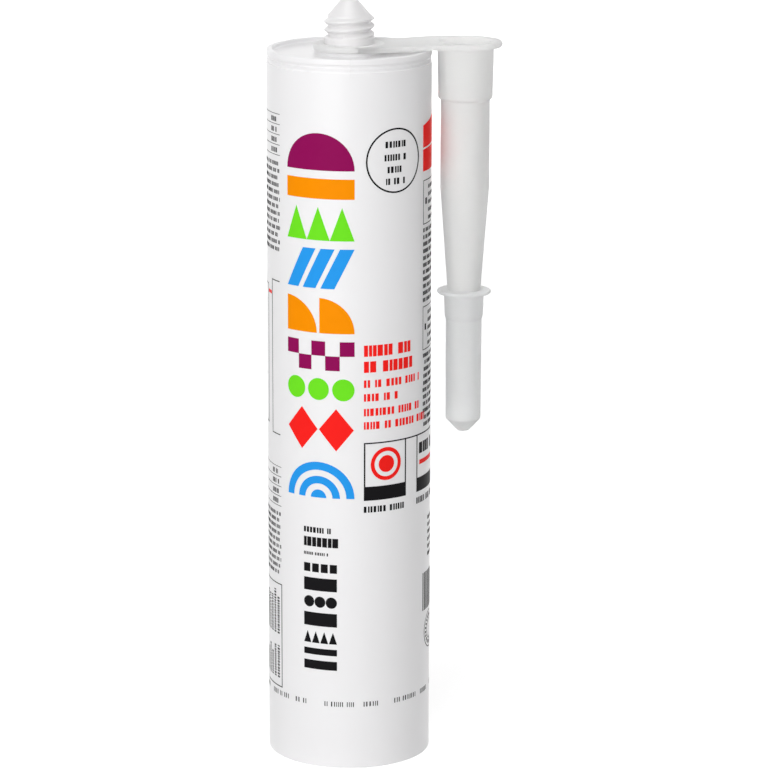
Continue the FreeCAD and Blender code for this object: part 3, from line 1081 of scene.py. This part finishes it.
def white_floor():
    """Pale floor that reads as white, most of all far away, keeps a soft shadow and is clear from below."""
    mesh = bpy.data.meshes.new("floor")
    half = 6.0
    corners = [(-half, -half, 0), (half, -half, 0), (half, half, 0), (-half, half, 0)]
    mesh.from_pydata(corners, [], [(0, 1, 2, 3)])
    floor = bpy.data.objects.new("floor", mesh)
    bpy.context.scene.collection.objects.link(floor)
    finish = Finish("pale_floor", (0.8, 0.8, 0.8, 1), 0.9, Specular_IOR_Level=0.0)
    tree = finish.material.node_tree
    glow = tree.nodes.new("ShaderNodeEmission")
    reach = tree.nodes.new("ShaderNodeVectorMath")
    reach.operation = "LENGTH"
    tree.links.new(finish.place, reach.inputs[0])
    amount = finish.ranged(reach.outputs["Value"], FLOOR_GLOW, 1.0, FLOOR_NEAR, FLOOR_FAR)
    share = white_to_rays(tree, ("Is Glossy Ray", "Is Transmission Ray"))
    tree.links.new(finish.maths("MULTIPLY", share, amount), glow.inputs["Strength"])
    both = tree.nodes.new("ShaderNodeAddShader")
    tree.links.new(finish.shader.outputs[0], both.inputs[0])
    tree.links.new(glow.outputs[0], both.inputs[1])
    below = tree.nodes.new("ShaderNodeMixShader")
    tree.links.new(tree.nodes.new("ShaderNodeNewGeometry").outputs["Backfacing"], below.inputs["Fac"])
    tree.links.new(both.outputs[0], below.inputs[1])
    tree.links.new(tree.nodes.new("ShaderNodeBsdfTransparent").outputs[0], below.inputs[2])
    tree.links.new(below.outputs[0], tree.nodes["Material Output"].inputs["Surface"])
    mesh.materials.append(finish.material)


def white_world():
    """World that is white to camera, glossy and transmission rays, and a plain grey light to the rest."""
    world = bpy.data.worlds.new("studio")
    world.use_nodes = True
    bpy.context.scene.world = world
    tree = world.node_tree
    base = tree.nodes["Background"]
    base.inputs["Color"].default_value = (1, 1, 1, 1)
    base.inputs["Strength"].default_value = WORLD_LIGHT
    white = tree.nodes.new("ShaderNodeBackground")
    white.inputs["Color"].default_value = (1, 1, 1, 1)
    white.inputs["Strength"].default_value = 1.0
    mix = tree.nodes.new("ShaderNodeMixShader")
    tree.links.new(white_to_rays(tree, ("Is Glossy Ray", "Is Transmission Ray")), mix.inputs["Fac"])
    tree.links.new(base.outputs[0], mix.inputs[1])
    tree.links.new(white.outputs[0], mix.inputs[2])
    tree.links.new(mix.outputs[0], tree.nodes["World Output"].inputs["Surface"])


object_middle = Vector((0.01, 0.0, 0.115))
# Each lamp: azimuth from the front towards +X and elevation in degrees, distance, side and strength, where
# strength is the light that a white matt face gives back when it faces the lamp
LAMPS = {
    "key": (-24, 5, 2.2, 1.5, 0.65),
    "overhead": (-10, 62, 1.6, 1.2, 0.37),
    "back_left": (-160, 15, 1.8, 1.4, 0.1),
    "back_right": (130, 15, 1.8, 1.2, 0.22),
}


def soft_lamps():
    """Square soft lamps round the object, each aimed at its middle."""
    for name, (azimuth, elevation, distance, side, strength) in LAMPS.items():
        lamp = bpy.data.lights.new(name, "AREA")
        lamp.size = side
        lamp.energy = strength * math.pi ** 2 * distance ** 2
        obj = bpy.data.objects.new(name, lamp)
        a, e = math.radians(azimuth), math.radians(elevation)
        way = Vector((math.sin(a) * math.cos(e), -math.cos(a) * math.cos(e), math.sin(e)))
        obj.location = object_middle + way * distance
        obj.rotation_euler = way.to_track_quat("Z", "Y").to_euler()
        bpy.context.scene.collection.objects.link(obj)


# Camera fitted to the outlines in the photograph of 768 by 768 pixels, with angles in radians
CAMERA_PLACE = Vector((0.0, -1.08864, 0.37896))
CAMERA_YAW = 0.00971
CAMERA_PITCH = 0.23836
CAMERA_ROLL = 0.0023
FOCAL_PIXELS = 3688.29
PICTURE_SIDE = 768
SENSOR = 36.0


def photo_camera():
    """Camera at the photograph's place, looking along its yaw and down by its pitch, then rolled."""
    cos, sin = math.cos, math.sin
    ahead = Vector((
        sin(CAMERA_YAW) * cos(CAMERA_PITCH), cos(CAMERA_YAW) * cos(CAMERA_PITCH), -sin(CAMERA_PITCH)
    ))
    level = Vector((cos(CAMERA_YAW), -sin(CAMERA_YAW), 0))
    above = level.cross(ahead)
    right = level * cos(CAMERA_ROLL) + above * sin(CAMERA_ROLL)
    up = above * cos(CAMERA_ROLL) - level * sin(CAMERA_ROLL)
    data = bpy.data.cameras.new("camera")
    data.sensor_width = SENSOR
    data.lens = FOCAL_PIXELS / PICTURE_SIDE * SENSOR
    data.clip_start, data.clip_end = 0.05, 30
    camera = bpy.data.objects.new("camera", data)
    camera.matrix_world = Matrix((right, up, -ahead)).transposed().to_4x4()
    camera.location = CAMERA_PLACE
    bpy.context.scene.collection.objects.link(camera)
    bpy.context.scene.camera = camera


def build():
    """Makes every piece, attaches it to its body, hides the imported solid that it stands for, and sets up
    the stage.
    """
    milky = milky_finish("milky_nozzle", (0.915, 0.915, 0.91, 1), 0.53)
    # Painted light: the ring is the same plastic as the nozzle, given a lighter, less clear copy of its
    # finish so that it does not darken over the shaded recess below it.
    ring_lit_milky = milky_finish("milky_ring_lit", (0.93, 0.93, 0.925, 1), 0.15)
    cap_milky = milky_finish("milky_cap", (0.935, 0.94, 0.94, 1), 0.54)
    pieces = [
        (barrel_shell(barrel_finish()), "cartridge", "barrel", "barrel_white"),
        (piston_cup(piston_finish()), "piston", "piston", "piston_white"),
        (sealant_fill(sealant_finish()), "cartridge", "sealant", "sealant_white"),
        (nozzle_moulding(milky, ring_lit_milky), "nozzle", "nozzle", "nozzle_milky"),
        (cap_shell(cap_milky), "cap", "nozzle_cap", "cap_milky"),
    ]
    for obj, body, node, slot in pieces:
        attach(obj, body)
        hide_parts(node)
    fill = pieces[2][0]
    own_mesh(fill)

    inks = colour_column()
    rng = np.random.default_rng(7)
    inks["black"] = []
    for black, red in (front_print(rng), fine_print(rng)):
        inks["black"] += black
        inks["red"] += red
    colours = {
        "purple": srgb(146, 14, 88),
        "orange": srgb(255, 148, 0),
        "green": srgb(114, 231, 38),
        "blue": srgb(42, 157, 241),
        "red": srgb(255, 36, 32),
        "black": srgb(24, 23, 25),
    }
    for name, colour in colours.items():
        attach(ink_piece("print_" + name, inks[name], ink_finish("ink_" + name, colour)), "cartridge")

    white_floor()
    white_world()
    soft_lamps()
    photo_camera()
    bpy.context.scene.view_settings.view_transform = "Standard"


build()
